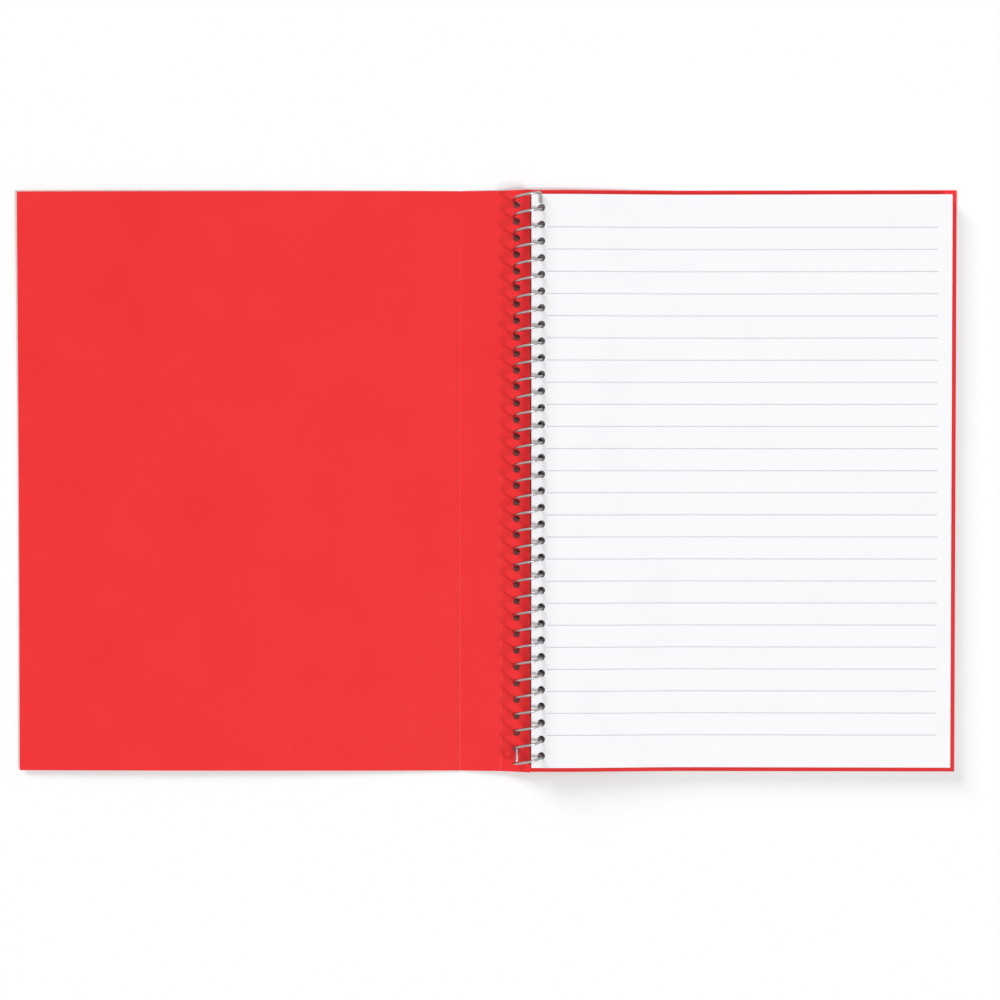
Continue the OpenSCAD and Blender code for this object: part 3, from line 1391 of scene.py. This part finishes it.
@dataclass(frozen=True)
class WireCoil:
    """The binding: one round wire wound through every hole, with both ends turned along the coil.

    The head's tail clears the pages by tail_gap, and the foot's is pinched in towards the axis by
    foot_pinch. The rims of both cuts are rounded by cut_round.
    """

    binding: Binding
    place: CoilFrame
    end_bend_r: float = 1.2
    head_tail: float = 2.6
    foot_tail: float = 4.4
    foot_pinch: float = 1.1
    tail_gap: float = 0.2
    turn_steps: int = 48
    wire_sides: int = 14
    bend_steps: int = 14
    tail_steps: int = 5
    cut_round: float = 0.18
    cut_steps: int = 4

    @property
    def slope(self) -> float:
        """Slope of the wire on the unrolled coil."""
        return math.atan(self.binding.pitch / (2 * math.pi * self.binding.coil_r))

    @property
    def head_angle(self) -> float:
        """Coil angle where the head's bend starts, so that its tail lies just above the top page.

        Returns:
            The tail's own angle and the bend's, less a whole turn.
        """
        binding = self.binding
        top = binding.stack_lift + binding.stack_t + self.tail_gap + binding.wire_d / 2
        tail = math.asin((top - binding.coil_d / 2) / binding.coil_r)
        bend = self.end_bend_r * (1 + math.sin(self.slope)) / binding.coil_r
        return tail + bend - 2 * math.pi

    @property
    def foot_angle(self) -> float:
        """Coil angle where the foot's bend starts."""
        return (self.binding.hole_count - 1) * 2 * math.pi + math.pi

    @property
    def cut_angles(self) -> np.ndarray:
        """Angles of the points on the rounding of a cut, from the wire's side to its end."""
        return np.linspace(0.0, math.pi / 2, self.cut_steps + 1)

    def unrolled(self, angle: np.ndarray) -> np.ndarray:
        """Helix on the unrolled coil: the way round is angle times radius, and Y falls a pitch a turn.

        Args:
            angle: Coil angles.

        Returns:
            The way round and Y at each angle.
        """
        binding = self.binding
        turns = (angle - math.radians(binding.phase_angle)) / (2 * math.pi)
        return np.stack([angle * binding.coil_r, binding.row_top - binding.pitch * turns], axis=-1)

    def end(self, angle: float, heading: float, tail: float, pinch: float) -> np.ndarray:
        """One bent end on the unrolled coil: an arc, then a straight tail along the coil.

        Args:
            angle: Coil angle where the bend starts.
            heading: Direction of the wire there, on the unrolled coil.
            tail: Length of the tail.
            pinch: How far the tail is pressed in towards the axis.

        Returns:
            Length round the coil, Y and pinch of each point past the start. The tail's last points stand
            closer together, on the rounding of the cut.
        """
        last = math.pi / 2 + self.slope
        turn = np.linspace(0.0, last, self.bend_steps + 1)[1:]
        start = self.unrolled(np.array(angle))
        centre = start + self.end_bend_r * np.array([-math.sin(heading), math.cos(heading)])
        arc = centre + self.end_bend_r * np.stack([np.sin(heading + turn), -np.cos(heading + turn)], axis=-1)
        way = np.array([math.cos(heading + last), math.sin(heading + last)])
        lengths = np.concatenate([
            np.linspace(0.0, tail - self.cut_round, self.tail_steps + 1)[1:-1],
            tail - self.cut_round * (1 - np.sin(self.cut_angles))])
        straight = arc[-1] + lengths[:, None] * way[None, :]
        inward = np.concatenate([pinch * ease(turn / last), np.full(len(lengths), pinch)])
        return np.column_stack([np.concatenate([arc, straight]), inward])

    def path(self) -> tuple[np.ndarray, np.ndarray, np.ndarray]:
        """The whole wire from head to foot.

        Returns:
            Middle points, outward directions from the coil's axis, and the wire's radius at each point.
        """
        head, foot = self.head_angle, self.foot_angle
        steps = round((foot - head) / (2 * math.pi) * self.turn_steps)
        helix = self.unrolled(np.linspace(head, foot, steps + 1))
        helix = np.column_stack([helix, np.zeros(len(helix))])
        head_end = self.end(head, math.pi - self.slope, self.head_tail, 0.0)[::-1]
        foot_end = self.end(foot, -self.slope, self.foot_tail, self.foot_pinch)
        round_way, y, inward = np.concatenate([head_end, helix, foot_end]).T
        angle = round_way / self.binding.coil_r
        reach = self.binding.coil_r - inward
        out = np.stack([np.cos(angle), np.zeros(len(angle)), np.sin(angle)], axis=-1)
        points = out * reach[:, None]
        points[:, 1] = y
        points[:, 2] += self.binding.coil_d / 2
        radius = np.full(len(points), self.binding.wire_d / 2)
        cut = self.binding.wire_d / 2 - self.cut_round * (1 - np.cos(self.cut_angles))
        radius[: len(cut)] = cut[::-1]
        radius[-len(cut):] = cut
        return points, out, radius

    def lengths(self) -> np.ndarray:
        """Length of wire from the head's cut to each point of the path."""
        steps = np.linalg.norm(np.diff(self.path()[0], axis=0), axis=1)
        return np.concatenate([[0.0], np.cumsum(steps)])

    def build(self, finish: Material) -> Piece:
        """The wire: a circle carried along the path, square to it, and closed at both cuts.

        Args:
            finish: The drawn wire.

        Returns:
            The piece.
        """
        points, out, radius = self.path()
        ahead = np.gradient(points, axis=0)
        ahead /= np.linalg.norm(ahead, axis=1, keepdims=True)
        normal = out - (out * ahead).sum(axis=1, keepdims=True) * ahead
        normal /= np.linalg.norm(normal, axis=1, keepdims=True)
        beside = np.cross(ahead, normal)
        turn = 2 * math.pi * np.arange(self.wire_sides) / self.wire_sides
        ring = np.cos(turn)[None, :, None] * normal[:, None] + np.sin(turn)[None, :, None] * beside[:, None]
        skin = points[:, None] + ring * radius[:, None, None]
        rings, sides = skin.shape[:2]
        quads = tube_quads(rings, sides)[:, [0, 3, 2, 1]]
        length = self.lengths()
        along = np.broadcast_to((length / length[-1])[:, None], (rings, sides + 1))
        about = np.broadcast_to(np.linspace(0.0, 1.0, sides + 1)[None, :], (rings, sides + 1))
        corner = np.stack([about, along], axis=-1)
        quad_uv = np.stack([corner[:-1, :-1], corner[:-1, 1:], corner[1:, 1:], corner[1:, :-1]], axis=2)
        cap_uv = np.concatenate([corner[0, :-1][::-1], corner[-1, :-1]])
        index = np.arange(rings * sides).reshape(rings, sides)
        faces = quads.tolist() + [index[0, ::-1].tolist(), index[-1].tolist()]
        piece = Piece("coil_wire", self.place)
        made = piece.fill(
            skin.reshape(-1, 3), faces, np.concatenate([quad_uv.reshape(-1, 2), cap_uv]),
            np.zeros(len(faces)), [finish])
        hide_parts("wire_coil")
        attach(made, Body.BLOCK.value)
        return piece


@dataclass(frozen=True)
class Lamp:
    """A far soft lamp: even light from one side, a share of the full light on a level surface."""

    name: str
    azimuth: float
    elevation: float
    spread: float
    share: float
    mirrored: bool = True

    def light(self) -> None:
        """Adds the lamp. Its strength is share times pi over the sine of its elevation."""
        data = bpy.data.lights.new(self.name, "SUN")
        data.angle = math.radians(self.spread)
        data.energy = self.share * math.pi / math.sin(math.radians(self.elevation))
        lamp = linked(self.name, data)
        lamp.visible_glossy = self.mirrored
        lamp.rotation_euler = (0.0, math.radians(90.0 - self.elevation), math.radians(self.azimuth))


@dataclass(frozen=True)
class Studio:
    """White table, white surroundings, soft lamps, and the camera that looks down, a degree off upright.

    Places are in metres and tilts in degrees. The table's zone of painted shade and painted red bounce light
    stops shade_inset short of the coil's ends, and its rim is soft by shade_margin to each side.
    """

    camera_place: Triple = (0.0122, 0.0032, 0.64)
    camera_tilt: tuple[float, float] = (-0.912, 0.613)
    lens: float = 60.48
    sensor: float = 36.0
    table_z: float = -0.00005
    table_half: float = 3.0
    table_albedo: float = 0.9
    # Painted shade and painted red bounce light under the binding: a darker reddish colour and a weak red
    # glow.
    painted_shade_bounce_colour: Triple = (0.85, 0.42, 0.39)
    painted_bounce_glow: float = 0.07
    table_glow: float = 0.1
    shade_margin: float = 0.0007
    shade_inset: float = 0.0022
    near_clip: float = 0.01
    sky: float = 0.37
    lamps: tuple[Lamp, ...] = (
        Lamp("key_from_the_lower_right", azimuth=-30.0, elevation=50.0, spread=12.0, share=0.38),
        Lamp("fill_from_the_upper_left", azimuth=132.0, elevation=25.0, spread=24.0, share=0.25,
             mirrored=False),
    )

    def build(self) -> None:
        """Sets up the camera, the world, the lamps and the table."""
        self.add_camera()
        self.add_world()
        for lamp in self.lamps:
            lamp.light()
        self.add_table()
        bpy.context.scene.view_settings.view_transform = "Standard"

    def add_camera(self) -> None:
        """Adds the camera above the notebook, with the page's head at the top of the picture."""
        data = bpy.data.cameras.new("camera")
        data.sensor_width = self.sensor
        data.lens = self.lens
        data.clip_start = self.near_clip
        camera = linked("camera", data)
        camera.location = self.camera_place
        camera.rotation_euler = (math.radians(self.camera_tilt[0]), math.radians(self.camera_tilt[1]), 0.0)
        bpy.context.scene.camera = camera

    def add_world(self) -> None:
        """A plain white world, at full strength for what sees it and weaker as light."""
        world = bpy.data.worlds.new("surroundings")
        board = NodeBoard(world)
        strength = self.sky + board.seen() * (1.0 - self.sky)
        sky = board.add("ShaderNodeBackground", {}, {"Color": (*WHITE, 1.0), "Strength": strength})
        board.add("ShaderNodeOutputWorld", {}, {"Surface": sky.outputs[0]})
        bpy.context.scene.world = world

    def table_finish(self) -> Material:
        """White table that keeps shadows: matt white, with a weak glow for what sees it.

        From the coil's outer side to the pages, where it shows only through the flap's holes and the gap
        beside the pages, its colour and glow are painted: a darker, reddish colour and a weak red glow stand
        in for the shade there and the red light that the covers throw on it.

        Returns:
            The material.
        """
        low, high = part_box("wire_coil")
        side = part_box("page_block")[0].x
        board = NodeBoard(bpy.data.materials.new("white_table"))
        across, along = board.parts(board.add("ShaderNodeTexCoord").outputs["Object"])
        beside = abs(across - (low.x + side) / 2) - (side - low.x) / 2
        past = abs(along - (low.y + high.y) / 2) - (high.y - low.y) / 2 + self.shade_inset
        open_table = beside.larger(past).step(-self.shade_margin, self.shade_margin)
        # Inside the zone the glow and the colour are painted: red-tinted shade and red bounce light from the
        # covers.
        strength = self.painted_bounce_glow + open_table * (self.table_glow - self.painted_bounce_glow)
        glow_colour = board.mix(open_table, self.painted_shade_bounce_colour, WHITE)
        glow = board.add("ShaderNodeEmission", {}, {
            "Color": glow_colour, "Strength": board.seen() * strength})
        albedo = (self.table_albedo, self.table_albedo, self.table_albedo)
        matt_colour = board.mix(open_table, self.painted_shade_bounce_colour, albedo)
        matt = board.add("ShaderNodeBsdfDiffuse", {}, {"Color": matt_colour})
        both = board.add("ShaderNodeAddShader", {}, {0: matt.outputs[0], 1: glow.outputs[0]})
        board.add("ShaderNodeOutputMaterial", {}, {"Surface": both.outputs[0]})
        return board.owner

    def add_table(self) -> None:
        """Adds the table under the notebook."""
        half = self.table_half
        corners = [(-half, -half), (half, -half), (half, half), (-half, half)]
        mesh = bpy.data.meshes.new("table")
        mesh.from_pydata([(x, y, self.table_z) for x, y in corners], [], [(0, 1, 2, 3)])
        mesh.materials.append(self.table_finish())
        table = linked("table", mesh)


def main() -> None:
    """Builds the notebook piece by piece, and reports each piece."""
    logging.basicConfig(level=logging.INFO, format="%(message)s")
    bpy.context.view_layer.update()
    place = CoilFrame.from_nodes()
    binding = Binding()
    front = FrontCoverSheet(binding, place)
    back = BackCoverSheet(binding, place)
    pages = PageStack(binding, place)
    coil = WireCoil(binding, place)
    Studio().build()

    card = CardFinish(
        name="red_card", colour=(0.87, 0.033, 0.037), shade=(0.84, 0.027, 0.031), roughness=0.5)
    card_edge = CardFinish(
        name="red_card_edge", colour=(0.66, 0.045, 0.05), shade=(0.58, 0.035, 0.04), roughness=0.6)
    paper = PaperFinish(name="writing_paper", colour=(0.96, 0.957, 0.985), shade=(0.94, 0.937, 0.967))
    leaf_edge = LeafEdgeFinish(
        name="leaf_edges", colour=(0.92, 0.92, 0.94), shade=(0.74, 0.74, 0.765),
        leaf_step=binding.block_t / pages.leaf_count)
    ink = InkFinish(name="grey_ink", colour=(0.78, 0.78, 0.82), shade=(0.62, 0.62, 0.66))
    wire = WireFinish(
        name="drawn_wire", colour=(0.44, 0.43, 0.425), shade=(0.33, 0.32, 0.315),
        girth=math.pi * binding.wire_d, length=float(coil.lengths()[-1]))
    card_finishes = [card.make(), card_edge.make()]
    paper_finishes = [paper.make(), leaf_edge.make()]

    pieces = [
        front.build_panel(card_finishes),
        front.build_flap(card_finishes),
        back.build(card_finishes),
        pages.build_block(paper_finishes),
        pages.build_top_leaf(paper_finishes),
        pages.build_rules(ink.make()),
        coil.build(wire.make()),
    ]
    for piece in pieces:
        piece.report()


if __name__ == "__main__":
    main()
